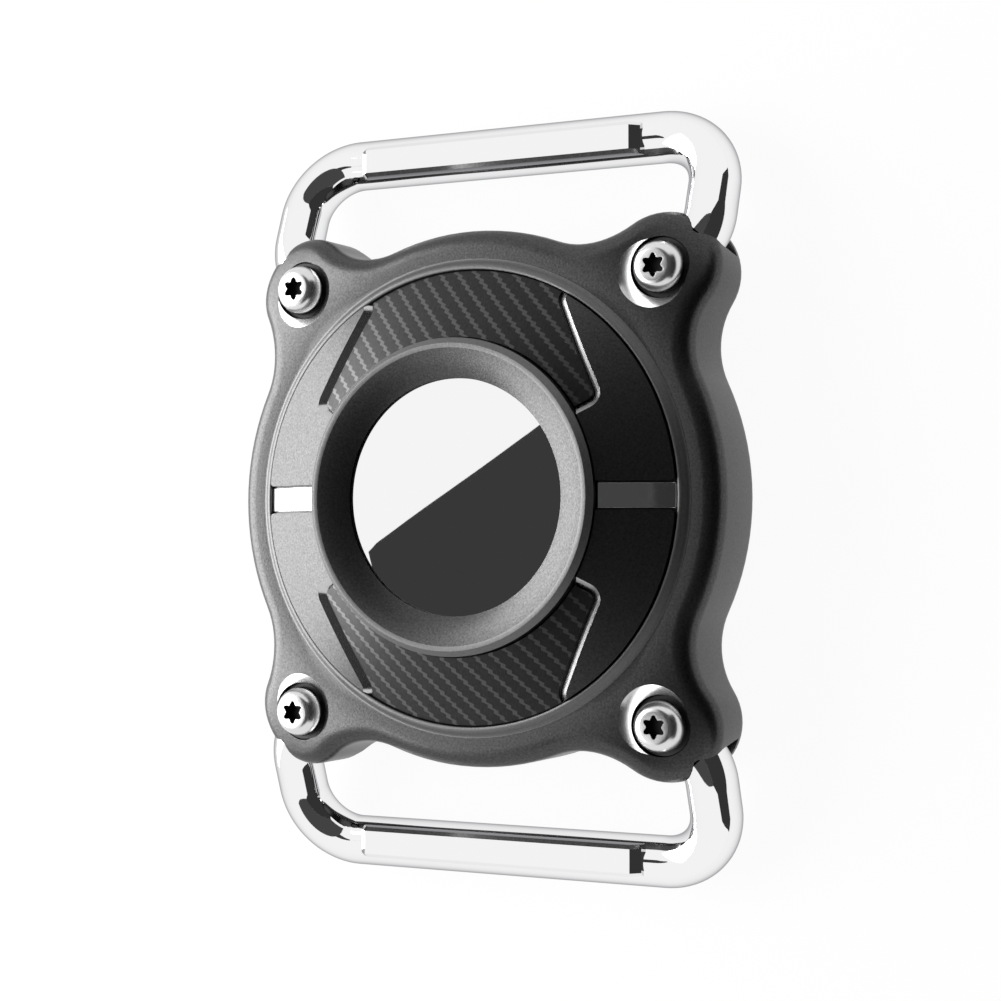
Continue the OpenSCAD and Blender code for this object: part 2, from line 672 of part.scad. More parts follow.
module screw(s) {
    r = head_d / 2;
    point = 0.6 * thread_pitch;
    dome = head_h * 0.45;
    color("#d0d0d2") translate([s[1], s[2], 0]) difference() {
        turned(concat(
            [[0, tip_z], [screw_d / 2 - point, tip_z], [screw_d / 2, tip_z + point], [screw_d / 2, head_z],
                [r, head_z], [r, head_top_z - dome]],
            [for (a = [15:15:75]) [r - r * 0.42 * (1 - cos(a)), head_top_z - dome * (1 - sin(a))]],
            [[r * 0.56, head_top_z], [0, head_top_z]]));
        translate([0, 0, head_top_z - recess_h]) linear_extrude(far) six_lobe();
    }
}

// The six-lobe recess, with two lobes pointing up and down
module six_lobe() {
    r = recess_d / 2;
    difference() {
        union() {
            circle(r * 0.82);
            for (i = [0:5]) rotate(30 + i * 60) translate([r * 0.8, 0]) circle(r * 0.2);
        }
        for (i = [0:5]) rotate(i * 60) translate([r * 0.92, 0]) circle(r * 0.26);
    }
}

module washer(s) {
    color("#101010") translate([s[1], s[2], washer_z]) difference() {
        cylinder(r = seat_d / 2 - thread_gap, h = washer_t);
        translate([0, 0, -eps]) cylinder(r = screw_d / 2 + thread_gap, h = washer_t + 2 * eps);
    }
}

module threaded_inserts() {
    color("#c9a44c") at_screws() translate([0, 0, insert_z]) difference() {
        cylinder(d = insert_d, h = post_top_z - seat_gap - insert_z);
        translate([0, 0, -eps]) cylinder(r = screw_d / 2 + thread_gap, h = far);
    }
}

// The cradle: a soft cup round the lower half of the tag
module tag_cradle() {
    r = bore_r - cradle_gap;
    top = tag_z + cradle_wall_h;
    color("#8a8c90") turned(concat(
        [[0, spigot_top_z], [r, spigot_top_z], [r, top]],
        [for (a = [88:-8:0]) let(q = shell_low(a)) if (q[1] < top) [q[0] + cradle_gap, q[1] - cradle_gap / 2]],
        [[0, tag_z - cradle_gap / 2]]));
}

module tag_shell() {
    lip_r = cover_r + twist_gap;
    color("#f2f2f2") turned(concat(
        [[0, tag_z]],
        [for (a = [0:9:90]) shell_low(a)],
        [for (a = [10:10:90]) shell_high(a)],
        [[lip_r, shell_top_z], [lip_r, skirt_z], [lip_r - 0.8, skirt_z], [lip_r - 0.8, skirt_z - 0.6],
            [tag_r - 2.55, waist_z + 0.6], [tag_r - 2.55, waist_z - 0.6],
            [board_r + seat_gap, board_z - seat_gap], [board_r - 1.8, board_z - seat_gap],
            [board_r - 1.8, shell_floor_z], [0, shell_floor_z]]));
}

module tag_battery_cover() {
    color("#dcdcde") turned([[0, tag_top_z], [cover_r * 0.35, tag_top_z - 0.03],
        [cover_r * 0.6, tag_top_z - 0.09], [cover_r * 0.82, tag_top_z - 0.18],
        [cover_r - 0.5, tag_top_z - 0.28], [cover_r - 0.15, tag_top_z - 0.42], [cover_r, tag_top_z - 0.7],
        [cover_r, skirt_z + seat_gap], [cover_r - cover_t, skirt_z + seat_gap],
        [cover_r - cover_t, tag_top_z - 0.9], [cover_r * 0.8, tag_top_z - cover_t],
        [0, tag_top_z - cover_t]]);
}

module coin_cell() {
    r = cell_d / 2;
    color("#c8c8c4") turned([[0, cell_z], [r - 1.6, cell_z], [r - 1.6, cell_z + 0.3], [r, cell_z + 0.3],
        [r, cell_top_z - 0.2], [r - 0.2, cell_top_z], [0, cell_top_z]]);
}

// A cone spring under the cell and two blades at its rim, all on the board
module battery_contacts() {
    blade_r = cell_d / 2 + 0.15;
    base_z = board_top_z + seat_gap;
    color("#d4b45c") {
        turned([[3.2, base_z], [4, base_z], [4, base_z + 0.2], [1.6, cell_z - seat_gap],
            [0.6, cell_z - seat_gap], [0.6, cell_z - 0.25], [1.4, cell_z - 0.25], [3.2, base_z + 0.2]]);
        for (a = [70, 250]) rotate(a) translate([0, 0, base_z]) rotate_extrude(angle = 40)
            translate([blade_r, 0]) square([0.3, cell_z + cell_t / 2 - base_z]);
    }
}

module tag_circuit_board() {
    color("#1f5c3a") translate([0, 0, board_z]) difference() {
        cylinder(r = board_r, h = board_t);
        for (a = [0, 180]) rotate(a) translate([board_r, 0, -eps]) cylinder(r = 1.2, h = board_t + 2 * eps);
    }
}

module tag_sounder() {
    color("#b8b8b8") translate([0, 0, shell_floor_z + seat_gap]) cylinder(d = sounder_d, h = sounder_t);
}

front_cover();
rear_cover();
centre_disc();
window_ring();
carbon_inlay(1);  // carbon_inlay_upper
carbon_inlay(-1);  // carbon_inlay_lower
accent_bar(-1);  // accent_bar_left
accent_bar(1);  // accent_bar_right
strap_loop(1);  // strap_loop_upper
strap_loop(-1);  // strap_loop_lower
for (s = SCREWS) screw(s);
for (s = SCREWS) washer(s);
threaded_inserts();
cover_seal();
window_seal();
tag_cradle();
tag_shell();
tag_battery_cover();
coin_cell();
battery_contacts();
tag_circuit_board();
tag_sounder();
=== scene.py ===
# %% [markdown]
# # A screwed holder for a round tracker tag
# The holder is two metal covers, screwed together over a tag, with a chromed wire loop at each end
# for a collar or strap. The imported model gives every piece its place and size. This lesson dresses
# it: each visible piece is modelled again with smooth curves, small bevels and a real finish.

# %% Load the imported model
import math
import bpy
import bmesh
from mathutils import Matrix, Vector


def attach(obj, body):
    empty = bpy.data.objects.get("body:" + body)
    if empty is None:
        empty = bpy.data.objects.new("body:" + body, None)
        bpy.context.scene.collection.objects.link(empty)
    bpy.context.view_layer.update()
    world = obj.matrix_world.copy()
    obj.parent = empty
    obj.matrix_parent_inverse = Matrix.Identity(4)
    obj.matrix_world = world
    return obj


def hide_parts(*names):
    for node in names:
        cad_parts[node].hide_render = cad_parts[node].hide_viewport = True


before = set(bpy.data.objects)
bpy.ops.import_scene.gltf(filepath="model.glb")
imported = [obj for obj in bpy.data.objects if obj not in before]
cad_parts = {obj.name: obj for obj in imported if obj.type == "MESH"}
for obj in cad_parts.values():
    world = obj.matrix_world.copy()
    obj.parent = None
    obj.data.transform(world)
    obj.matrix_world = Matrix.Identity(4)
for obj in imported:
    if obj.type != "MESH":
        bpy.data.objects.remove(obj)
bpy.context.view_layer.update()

print("nodes in the frame:", len(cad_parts))

# %% [markdown]
# ## Working in millimetres
# The holder is as small as a coin purse, so every piece is drawn in millimetres and scaled to
# metres when it is finished. Small helpers do what repeats: they pick out new vertices or faces, put
# an object in the scene, close a mesh and turn its faces outwards, coat a piece, cut pieces with each
# other, and finish a piece. The Bevel modifier gives a sharp edge the thin bright line that a machined
# edge has.

# %% Helpers for making a piece
def tidy(bm):
    bmesh.ops.remove_doubles(bm, verts=bm.verts, dist=1e-4)
    bmesh.ops.recalc_face_normals(bm, faces=bm.faces)


def verts_in(geom):
    return [g for g in geom if isinstance(g, bmesh.types.BMVert)]


def faces_in(geom):
    return [g for g in geom if isinstance(g, bmesh.types.BMFace)]


def put_in_scene(name, data):
    obj = bpy.data.objects.new(name, data)
    bpy.context.scene.collection.objects.link(obj)
    return obj


def mesh_object(bm, name):
    mesh = bpy.data.meshes.new(name)
    bm.to_mesh(mesh)
    bm.free()
    return put_in_scene(name, mesh)


def as_object(bm, name):
    tidy(bm)
    return mesh_object(bm, name)


def coated(obj, material):
    obj.data.materials.clear()
    obj.data.materials.append(material)
    return obj


def carve(obj, tools, operation="DIFFERENCE"):
    for tool in tools:
        cut = obj.modifiers.new("cut", "BOOLEAN")
        cut.object, cut.operation, cut.solver = tool, operation, "EXACT"
        cut.material_mode = "TRANSFER"
    seen = obj.evaluated_get(bpy.context.evaluated_depsgraph_get())
    mesh = bpy.data.meshes.new_from_object(seen)
    obj.modifiers.clear()
    obj.data = mesh
    for tool in tools:
        bpy.data.objects.remove(tool)
    return obj


def finish_piece(obj, node, body, material=None, edge=0.06, sharp=32):
    obj.name = obj.data.name = node + "_piece"
    obj.data.transform(Matrix.Scale(0.001, 4))
    if material:
        coated(obj, material)
    obj.data.shade_smooth()
    obj.data.set_sharp_from_angle(angle=math.radians(sharp))
    if edge:
        bevel = obj.modifiers.new("edge", "BEVEL")
        bevel.width, bevel.segments = edge * 0.001, 2
        bevel.limit_method, bevel.angle_limit = "ANGLE", math.radians(sharp)
        bevel.harden_normals = True
    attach(obj, body)
    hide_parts(node)
    print(obj.name, len(obj.data.polygons), "faces")
    return obj


# %% [markdown]
# ## A profile turned round an axis
# Rings, screws, seals and the tag are all turned shapes. Their half section is drawn as a line of
# vertices, and `bmesh.ops.spin` carries it once round the axis.

# %% Turn a section
def turned(section, name, steps=128, centre=(0, 0)):
    bm = bmesh.new()
    points = [bm.verts.new((centre[0] + r, centre[1], z)) for r, z in section]
    edges = [bm.edges.new((a, b)) for a, b in zip(points, points[1:] + points[:1])]
    bmesh.ops.spin(bm, geom=points + edges, cent=(*centre, 0), axis=(0, 0, 1),
                   angle=math.tau, steps=steps, use_merge=True)
    bmesh.ops.dissolve_degenerate(bm, dist=1e-5, edges=bm.edges)
    return as_object(bm, name)


def arc(centre, radius, start, end, steps):
    turns = [math.radians(start + (end - start) * i / steps) for i in range(steps + 1)]
    return [(centre[0] + radius * math.cos(a), centre[1] + radius * math.sin(a)) for a in turns]


# %% [markdown]
# ## The sizes
# These are the sizes of the model, in millimetres, from the back of the housing up to the lip of
# the window ring. The centre disc is a shallow cone, and the housing's face is a crown that falls
# away from the bead round the disc.

# %% Sizes of the holder
REAR_Z, JOINT_Z = 2.4, 3.95
FACE_Z, CROWN_R, EDGE_R = 12.75, 24.75, 2.0
BEAD_IN, BEAD_OUT = 24.2, 25.4
DISC_IN, DISC_OUT, DISC_TOP, CONE = 16.75, 24.1, 16.8, 3.05 / 7.35
BODY_R, LOBE_R, HOLLOW_R = 28.65, 6.0, 8.5
SCREW = Vector((21.49, 23.43))
WIRE_R, LEG_X, BAR_Y, BEND_R = 2.76, 25.1, 38.5, 6.45
TOE_R, TOE_A, TOE_Y, EYE_Z = 6.5, 32.0, 2.9, 7.3
LOBE_CUT = 6.2
POCKET_R, WEB_R, BORE_R, SEAT_R = 4.9, 4.6, 1.7, 3.2
WEB_Z, SEAT_Z, SEAT_BEVEL = 8.6, 10.3, 0.45
EYE_R, FORGED_R, EYE_LOW, EYE_HIGH = 4.3, 5.05, 6.1, 8.5
REAR_INSET, REAR_EDGE, FLOOR_Z = 0.15, 0.9, 3.9
CORNERS = {"upper_left": (-1, 1), "upper_right": (1, 1), "lower_left": (-1, -1), "lower_right": (1, -1)}
ALL_FOUR = list(CORNERS.values())
UPPER, LOWER = ALL_FOUR[:2], ALL_FOUR[2:]
sweep = math.atan2(EYE_Z - WIRE_R, BAR_Y - SCREW.y - TOE_Y)
leg = (BAR_Y - SCREW.y - TOE_Y) / math.cos(sweep) - TOE_R * math.sin(math.radians(TOE_A))


def cone_z(r):
    return DISC_TOP - CONE * (r - DISC_IN)


def crown_z(r):
    d = max(0.0, r - BEAD_OUT)
    return FACE_Z - CROWN_R + math.sqrt(CROWN_R ** 2 - d * d)


print("the loops lean back by", round(math.degrees(sweep), 1), "degrees")

# %% [markdown]
# ## The outline of the housing
# The housing bulges between its four lobes and is hollowed beside them. One vertex is spun about
# the centre of each arc in turn, which draws a quarter of the outline, and two mirrors complete it.
# Each vertex then keeps its place and its outward direction in two layers. The extrusions that
# follow read them, so a wall, a rounded edge or a crown is one rule for the whole ring.

# %% Draw the outline
def close_ring(bm):
    foot = bm.verts.layers.float_vector.new("foot")
    out = bm.verts.layers.float_vector.new("out")
    middle = sum((v.co for v in bm.verts), Vector()) / len(bm.verts)
    for v in bm.verts:
        a, b = [e.other_vert(v).co for e in v.link_edges]
        side = (b - a).cross(Vector((0, 0, 1))).normalized()
        v[foot] = v.co
        v[out] = side if side.dot(v.co - middle) > 0 else -side
    return list(bm.edges)


def outline(bm):
    dist, spread = SCREW.length, BODY_R + HOLLOW_R
    lobe_a = math.atan2(SCREW.y, SCREW.x)
    blend_a = math.acos((dist ** 2 + spread ** 2 - (LOBE_R + HOLLOW_R) ** 2) / (2 * dist * spread))
    low, high = lobe_a - blend_a, lobe_a + blend_a
    c_low = Vector((math.cos(low), math.sin(low))) * spread
    c_high = Vector((math.cos(high), math.sin(high))) * spread
    to_low = math.atan2(*(c_low - SCREW).yx)
    to_high = math.atan2(*(c_high - SCREW).yx)
    tip = bm.verts.new((BODY_R, 0, 0))
    path = [((0, 0), low, 9), (c_low, to_low - low, 12), (SCREW, to_high - to_low, 24),
            (c_high, high - to_high, 12), ((0, 0), math.pi / 2 - high, 7)]
    for centre, turn, steps in path:
        last = bmesh.ops.spin(bm, geom=[tip], cent=(*centre, 0), axis=(0, 0, 1), angle=turn,
                              steps=steps)["geom_last"]
        tip = verts_in(last)[0]
    for axis in "XY":
        bmesh.ops.mirror(bm, geom=bm.verts[:] + bm.edges[:], merge_dist=1e-3, axis=axis)
    bmesh.ops.remove_doubles(bm, verts=bm.verts, dist=1e-3)
    return close_ring(bm)


def grow(bm, ring, place):
    foot, out = (bm.verts.layers.float_vector[n] for n in ("foot", "out"))
    made = bmesh.ops.extrude_edge_only(bm, edges=ring)["geom"]
    new = set(verts_in(made))
    for v in new:
        v.co = place(v[foot].copy(), v[out].copy())
    return [g for g in made if isinstance(g, bmesh.types.BMEdge) and set(g.verts) <= new]


def place_ring(bm, place):
    foot, out = (bm.verts.layers.float_vector[n] for n in ("foot", "out"))
    for v in bm.verts:
        v.co = place(v[foot].copy(), v[out].copy())


def inset(d, z):
    return lambda p, n: Vector((p.x - n.x * d, p.y - n.y * d, z))


def circle(r, z):
    return lambda p, n: Vector((*(p.xy.normalized() * r), z))


bm = bmesh.new()
print("outline vertices:", len(outline(bm)))
bm.free()

# %% [markdown]
# ## The front cover
# The front cover is one closed skin: a wall, a rounded edge that meets the crown at its own slope,
# the crown, the round bead, the seat of the disc, the bore and the relief groove behind the face.
# The ring of the outline is extruded through all of them and back to its start. Screw seats and
# the channels of the wire loops are cut afterwards, as a mill would cut them.

# %% Skin of the front cover
def rounded(k):
    def place(p, n):
        r = p.xy.length
        d = max(0.0, r - EDGE_R - BEAD_OUT)
        lean = math.atan(d / math.sqrt(CROWN_R ** 2 - d * d) * p.dot(n) / r)
        rim = (p - n * EDGE_R * (1 - math.sin(lean))).xy.length
        a = k * (math.pi / 2 - lean)
        q = p - n * EDGE_R * (1 - math.cos(a))
        return Vector((q.x, q.y, crown_z(rim) - EDGE_R * (math.cos(lean) - math.sin(a))))
    return place


def crown(k):
    def place(p, n):
        q = rounded(1)(p, n)
        r = q.xy.length
        s = r + (BEAD_OUT - r) * k
        return Vector((q.x * s / r, q.y * s / r, crown_z(s)))
    return place


bm = bmesh.new()
ring = outline(bm)
place_ring(bm, inset(0.2, JOINT_Z))
rules = [inset(0, JOINT_Z + 0.2)] + [rounded(k / 6) for k in range(7)]
rules += [crown(k / 10) for k in range(1, 11)]
bead = [(25.28, 12.78), (25.16, 12.86), (25.03, 12.99), (24.9, 13.14), (24.77, 13.28), (24.64, 13.38),
        (24.5, 13.44), (24.38, 13.45), (24.3, 13.43), (24.24, 13.38), (24.2, 13.28)]
disc_seat = [(24.2, 12.36), (18.25, 14.81), (18.25, 14.06), (17.4, 14.06)]
relief = [(17.4, JOINT_Z), (19.6, JOINT_Z), (19.6, 12.42), (25.0, 10.85), (25.0, JOINT_Z)]
rules += [circle(r, z) for r, z in bead + disc_seat + relief]
rules += [inset(0.2, JOINT_Z)]
for rule in rules:
    ring = grow(bm, ring, rule)
front = as_object(bm, "front")
print("front cover skin:", len(front.data.polygons), "faces")

# %% [markdown]
# ## The wire's path
# Each loop is one bent wire: a bar, two bends, two legs, and a last bend inwards to the screws. The
# section is extruded along the straight parts and spun round the bends, flat on the table, and
# the whole loop is then leaned back. The same path with a wider section cuts the channels.

# %% Bend a wire
def sweep_leg(bm, face, over=1.0):
    made = bmesh.ops.extrude_face_region(bm, geom=[face])["geom"]
    bmesh.ops.translate(bm, verts=verts_in(made), vec=(0, -(leg - BEND_R), 0))
    bmesh.ops.delete(bm, geom=[face], context="FACES_ONLY")
    end = faces_in(made)
    bmesh.ops.spin(bm, geom=end, cent=(LEG_X - TOE_R, -leg, 0), axis=(0, 0, -1),
                   angle=math.radians(TOE_A * over), steps=8)
    bmesh.ops.delete(bm, geom=[f for f in end if f.is_valid], context="FACES_ONLY")


def lean_back(bm, side):
    bmesh.ops.rotate(bm, verts=bm.verts, matrix=Matrix.Rotation(-sweep, 3, "X"))
    bmesh.ops.translate(bm, verts=bm.verts, vec=(0, BAR_Y, WIRE_R))
    bmesh.ops.scale(bm, verts=bm.verts, vec=(1, side, 1))


def channel(side, way):
    """A leg's channel: half round at the wire, open down (way 1) or up (way -1)"""
    bm = bmesh.new()
    r = WIRE_R + 0.15
    edge = bm.verts.new((LEG_X + r, -BEND_R, 0))
    bmesh.ops.spin(bm, geom=[edge], cent=(LEG_X, -BEND_R, 0), axis=(0, -way, 0),
                   angle=math.pi, steps=16)
    ends = [v for v in bm.verts if len(v.link_edges) == 1]
    made = bmesh.ops.extrude_vert_indiv(bm, verts=ends)["verts"]
    bmesh.ops.translate(bm, verts=made, vec=(0, 0, -way * 9))
    face = bmesh.ops.contextual_create(bm, geom=bm.verts[:] + bm.edges[:])["faces"]
    face = face or bmesh.ops.edgeloop_fill(bm, edges=bm.edges[:] + [bm.edges.new(made)])["faces"]
    bmesh.ops.duplicate(bm, geom=face)
    sweep_leg(bm, face[0], over=1.3)
    bmesh.ops.mirror(bm, geom=bm.verts[:] + bm.edges[:] + bm.faces[:], merge_dist=1e-5, axis="X")
    lean_back(bm, side)
    return as_object(bm, "channel")

# %% [markdown]
# ## Finishes
# A finish is a Principled shader with a few nodes that give it the grain or weave of the real
# surface. Colours are written as sRGB hex values, as a colour picker shows them, and one function
# turns them to the linear values that a shader works with. One more function adds a node, sets it
# and links it. Patterns read Object coordinates, which are metres here, so a grain of 0.2 mm has a
# scale of 1 / 0.0002.

# %% Helpers for materials
def hex_colour(code):
    parts = [int(code[i:i + 2], 16) / 255 for i in (1, 3, 5)]
    return [c / 12.92 if c < 0.04045 else ((c + 0.055) / 1.055) ** 2.4 for c in parts] + [1.0]


def add(tree, kind, sockets=None, **settings):
    node = tree.nodes.new(kind)
    for name, value in settings.items():
        setattr(node, name, value)
    for name, value in (sockets or {}).items():
        if isinstance(value, bpy.types.NodeSocket):
            tree.links.new(value, node.inputs[name])
        else:
            node.inputs[name].default_value = value
    return node


def new_finish(name, colour, metallic, roughness, **more):
    material = bpy.data.materials.new(name)
    material.use_nodes = True
    shader = material.node_tree.nodes["Principled BSDF"]
    shader.inputs["Base Color"].default_value = hex_colour(colour)
    shader.inputs["Metallic"].default_value = metallic
    shader.inputs["Roughness"].default_value = roughness
    for name, value in more.items():
        shader.inputs[name.replace("_", " ")].default_value = value
    return material, material.node_tree, shader


def mixed_colours(tree, factor, pair):
    mix = add(tree, "ShaderNodeMix", data_type="RGBA")
    tree.links.new(factor, mix.inputs["Factor"])
    for socket, code in zip([s for s in mix.inputs if s.type == "RGBA"], pair):
        socket.default_value = hex_colour(code)
    return [s for s in mix.outputs if s.type == "RGBA"][0]


def maths(tree, operation, *values):
    return add(tree, "ShaderNodeMath", dict(enumerate(values)), operation=operation).outputs[0]


def grain(tree, shader, size, height, spread=None, detail=2.0):
    """Fine noise: bumps of a size in millimetres, and a spread of two colours with it"""
    where = add(tree, "ShaderNodeTexCoord").outputs["Object"]
    noise = add(tree, "ShaderNodeTexNoise", {"Vector": where, "Scale": 1000 / size, "Detail": detail})
    bump = add(tree, "ShaderNodeBump", {"Height": noise.outputs["Fac"], "Distance": height * 0.001,
                                        "Strength": 1.0})
    tree.links.new(bump.outputs["Normal"], shader.inputs["Normal"])
    if spread:
        tree.links.new(mixed_colours(tree, noise.outputs["Fac"], spread), shader.inputs["Base Color"])


print("dark grey in linear light:", [round(c, 3) for c in hex_colour("#454545")[:3]])

# %% [markdown]
# ## Anodised aluminium, bead-blasted
# The covers, the disc and the ring are aluminium that was blasted with fine glass beads and then
# anodised dark grey. The blasting leaves pits of about 0.1 mm, too small to show at this size, so
# they are drawn at 0.22 mm. They spread the light softly and give the surface its sparkle. The bead
# and the lip of the window ring get a softer copy with a fainter grain, and its paler colour is a
# painted highlight on these rims.

# %% Anodised finish
# a deep neutral grey with a soft sheen and a fine sparkle
anodised, tree, shader = new_finish("anodised_aluminium_dark_grey", "#454545", 1.0, 0.34)
grain(tree, shader, 0.22, 0.012, spread=("#2e2e2e", "#5e5e5e"))

# a softer copy for the bead and the window's lip, painted paler as their highlight
rim_highlight, tree, shader = new_finish("anodised_rim_painted_highlight", "#6a6a6a", 1.0, 0.5)
grain(tree, shader, 0.22, 0.012, spread=("#5e5e5e", "#767676"))

# %% [markdown]
# ## Carbon twill
# The inlays are carbon cloth in a twill under a thin matt lacquer. Where the tows turn up to the
# light they draw pale lines, which lean across the cloth and step from side to side on the way. The
# nodes add a zigzag to a leaning ramp, repeat it every 2.1 mm, and call the first 0.52 mm of each
# repeat pale. A stretched noise lays the fibres over it.

# %% Carbon finish
# near black with pale zigzag lines and a matt gleam
carbon, tree, shader = new_finish("carbon_twill_matt_lacquer", "#2c2c2e", 0.9, 0.37)
where = add(tree, "ShaderNodeTexCoord").outputs["Object"]
axes = add(tree, "ShaderNodeSeparateXYZ", {"Vector": where})
spacing, step, width = 2.1, 0.62, 0.52
slope, swing = 0.92, 1.1
across, along = [maths(tree, "MULTIPLY", axes.outputs[axis], 1000.0) for axis in "XY"]
zigzag = maths(tree, "PINGPONG", along, step / 2)
lean = maths(tree, "MULTIPLY_ADD", along, slope, across)
line = maths(tree, "MULTIPLY_ADD", zigzag, swing, lean)
pale = maths(tree, "LESS_THAN", maths(tree, "FLOORED_MODULO", line, spacing), width)
drawn = add(tree, "ShaderNodeMapping", {"Vector": where, "Scale": (1.0, 0.06, 1.0)}).outputs["Vector"]
fibres = add(tree, "ShaderNodeTexNoise", {"Vector": drawn, "Scale": 7000.0, "Detail": 1.0})
fleck = maths(tree, "MULTIPLY_ADD", fibres.outputs["Fac"], 0.3, maths(tree, "MULTIPLY", pale, 0.6))
tree.links.new(mixed_colours(tree, fleck, ("#232323", "#5a5a5a")), shader.inputs["Base Color"])
bump = add(tree, "ShaderNodeBump", {"Height": pale, "Distance": 0.00003, "Strength": 0.6})
tree.links.new(bump.outputs["Normal"], shader.inputs["Normal"])
print("carbon lines per inlay width:", round(2 * 15.7 / spacing))

# %% [markdown]
# ## Polished and plain finishes
# The loops are chromed wire, the screws stainless steel, the tag's cover polished steel. Chrome has
# almost no texture, only faint waves from the bending and polishing. The bevel round each wing and
# the bars are cut bright after anodising. The rest are rubber, silicone, brass and a board, and a
# near-black washer under each head whose black is also painted shade for the gap round the head.

# %% The other finishes
# a clear mirror with faint waves
chrome, tree, shader = new_finish("chromed_steel_wire", "#f2f2f3", 1.0, 0.035,
                                  Specular_Tint=(0.4, 0.4, 0.41, 1.0))
grain(tree, shader, 6.0, 0.010, detail=0.0)
# a flat mirror that shows the room with a crisp edge
steel, tree, shader = new_finish("polished_stainless_cover", "#f4f4f4", 1.0, 0.008)
grain(tree, shader, 9.0, 0.0015, detail=0.0)
# a bright turned metal with blurred reflections
screw_steel, tree, shader = new_finish("turned_stainless_screw", "#dcdcdc", 1.0, 0.24)
grain(tree, shader, 0.5, 0.002)
# a bright line along each cut bevel
bright_cut, tree, shader = new_finish("diamond_cut_aluminium", "#c4c4c4", 1.0, 0.22)
grain(tree, shader, 0.4, 0.001)
# painted shade: the drive recess is coloured near black for the shade inside it
recess_painted_shade, tree, shader = new_finish("drive_recess_painted_shade", "#0b0b0c", 0.0, 0.5)
grain(tree, shader, 0.3, 0.004, spread=("#070708", "#131315"))
# a bright bar with a slightly soft mirror
trim, tree, shader = new_finish("polished_trim", "#ececed", 1.0, 0.10)
grain(tree, shader, 0.6, 0.001)
# a near-black washer under each head, its black also painted shade for the gap round the head
washer_black_and_shade, tree, shader = new_finish("washer_black_and_gap_shade", "#101011", 0.0, 0.45)
grain(tree, shader, 0.3, 0.004, spread=("#0c0c0d", "#17171a"))
# a matt black that swallows the light
rubber, tree, shader = new_finish("seal_rubber_black", "#18181a", 0.0, 0.7)
grain(tree, shader, 0.25, 0.008, spread=("#131314", "#1f1f21"))
# a soft, slightly cloudy grey
silicone, tree, shader = new_finish("cradle_silicone_grey", "#85888c", 0.0, 0.6, Subsurface_Weight=0.1)
grain(tree, shader, 0.4, 0.006, spread=("#7d8084", "#8e9195"))
# a glossy moulded white
white_plastic, tree, shader = new_finish("white_glossy_plastic", "#f1f1ef", 0.0, 0.22)
grain(tree, shader, 3.0, 0.003, spread=("#efefed", "#f4f4f2"))
# a warm yellow metal
brass, tree, shader = new_finish("turned_brass_insert", "#c9a24e", 1.0, 0.28)
grain(tree, shader, 0.3, 0.006, spread=("#b8913f", "#d8b666"))
# a pale nickel plating
cell_steel, tree, shader = new_finish("nickel_plated_cell", "#c9c8c3", 1.0, 0.25)
grain(tree, shader, 0.5, 0.002, spread=("#bdbcb6", "#d4d3cf"))
# a yellow plating on the springs
gold, tree, shader = new_finish("gold_plated_contact", "#d8b45a", 1.0, 0.22)
grain(tree, shader, 0.4, 0.002, spread=("#cfa94c", "#e2c272"))
# a green lacquer over the board
board, tree, shader = new_finish("solder_mask_green", "#1d5a38", 0.0, 0.35)
grain(tree, shader, 0.8, 0.006, spread=("#174b2e", "#256b45"))
print("finishes:", len(bpy.data.materials))

# %% [markdown]
# ## Cut and finish the covers
# Each screw has a turned cutter: a pocket for the wire's eye below, the bore, the washer's seat and
# the bevel round the seat. The channels stop at the webs that carry the washers, and each lobe is cut
# flat where a leg of the wire comes out. The faces of the bevels then get the bright cut finish, and
# the faces of the bead the paler copy of the anodised finish, whose paler colour is a painted highlight.

# %% Cut the front cover
def rod(radius, low, high, centre, name="rod"):
    return turned([(0, low), (radius, low), (radius, high), (0, high)], name, 64, centre)


def at(corner):
    return SCREW.x * corner[0], SCREW.y * corner[1]


def end_cut(corner):
    """A block beyond the flat end of a lobe, square to the wire's leg"""
    bm = bmesh.new()
    bmesh.ops.create_cube(bm, size=1)
    bmesh.ops.scale(bm, verts=bm.verts, vec=(16, 6, 30))
    bmesh.ops.translate(bm, verts=bm.verts, vec=(0, LOBE_CUT + 3, 8))
    bmesh.ops.rotate(bm, verts=bm.verts, matrix=Matrix.Rotation(-math.radians(TOE_A), 3, "Z"))
    bmesh.ops.translate(bm, verts=bm.verts, vec=(*SCREW, 0))
    bmesh.ops.scale(bm, verts=bm.verts, vec=(*corner, 1))
    return as_object(bm, "end")


bevel_z = crown_z(SCREW.length) - SEAT_BEVEL
seats = [turned([(0, 0), (POCKET_R, 0), (POCKET_R, WEB_Z), (BORE_R, WEB_Z), (BORE_R, SEAT_Z),
                 (SEAT_R, SEAT_Z), (SEAT_R, bevel_z), (POCKET_R, bevel_z + 1.7), (POCKET_R, 20), (0, 20)],
                "seat", 64, at(c))
         for c in ALL_FOUR]
webs = [rod(WEB_R, WEB_Z, 30, at(c)) for c in ALL_FOUR]
channels = [carve(channel(side, 1), near_webs) for side, near_webs in ((1, webs[:2]), (-1, webs[2:]))]
ends = [end_cut(c) for c in ALL_FOUR]
carve(front, seats + channels + ends)
coated(front, anodised)
front.data.materials.append(bright_cut)
front.data.materials.append(rim_highlight)
BRIGHT, PAINTED_RIM = 1, 2
# the bead's faces take the paler copy: a painted highlight on the bead
for face in front.data.polygons:
    near = min((face.center.xy - Vector(at(c))).length for c in ALL_FOUR)
    on_slope = 0.6 < face.normal.z < 0.8 and face.center.z > bevel_z
    if 3.1 < near < WEB_R and on_slope:
        face.material_index = BRIGHT
    elif BEAD_IN - 0.05 < face.center.xy.length < BEAD_OUT and face.center.z > FACE_Z + 0.01:
        face.material_index = PAINTED_RIM
finish_piece(front, "front_cover", "front", sharp=27)

# %% [markdown]
# ## The rear cover
# The rear cover closes the housing from behind. It is the same outline, set in a little, with a
# rounded outer edge, and inside it carries the spigot, the groove of the seal and four posts that
# the loops' eyes rest on.

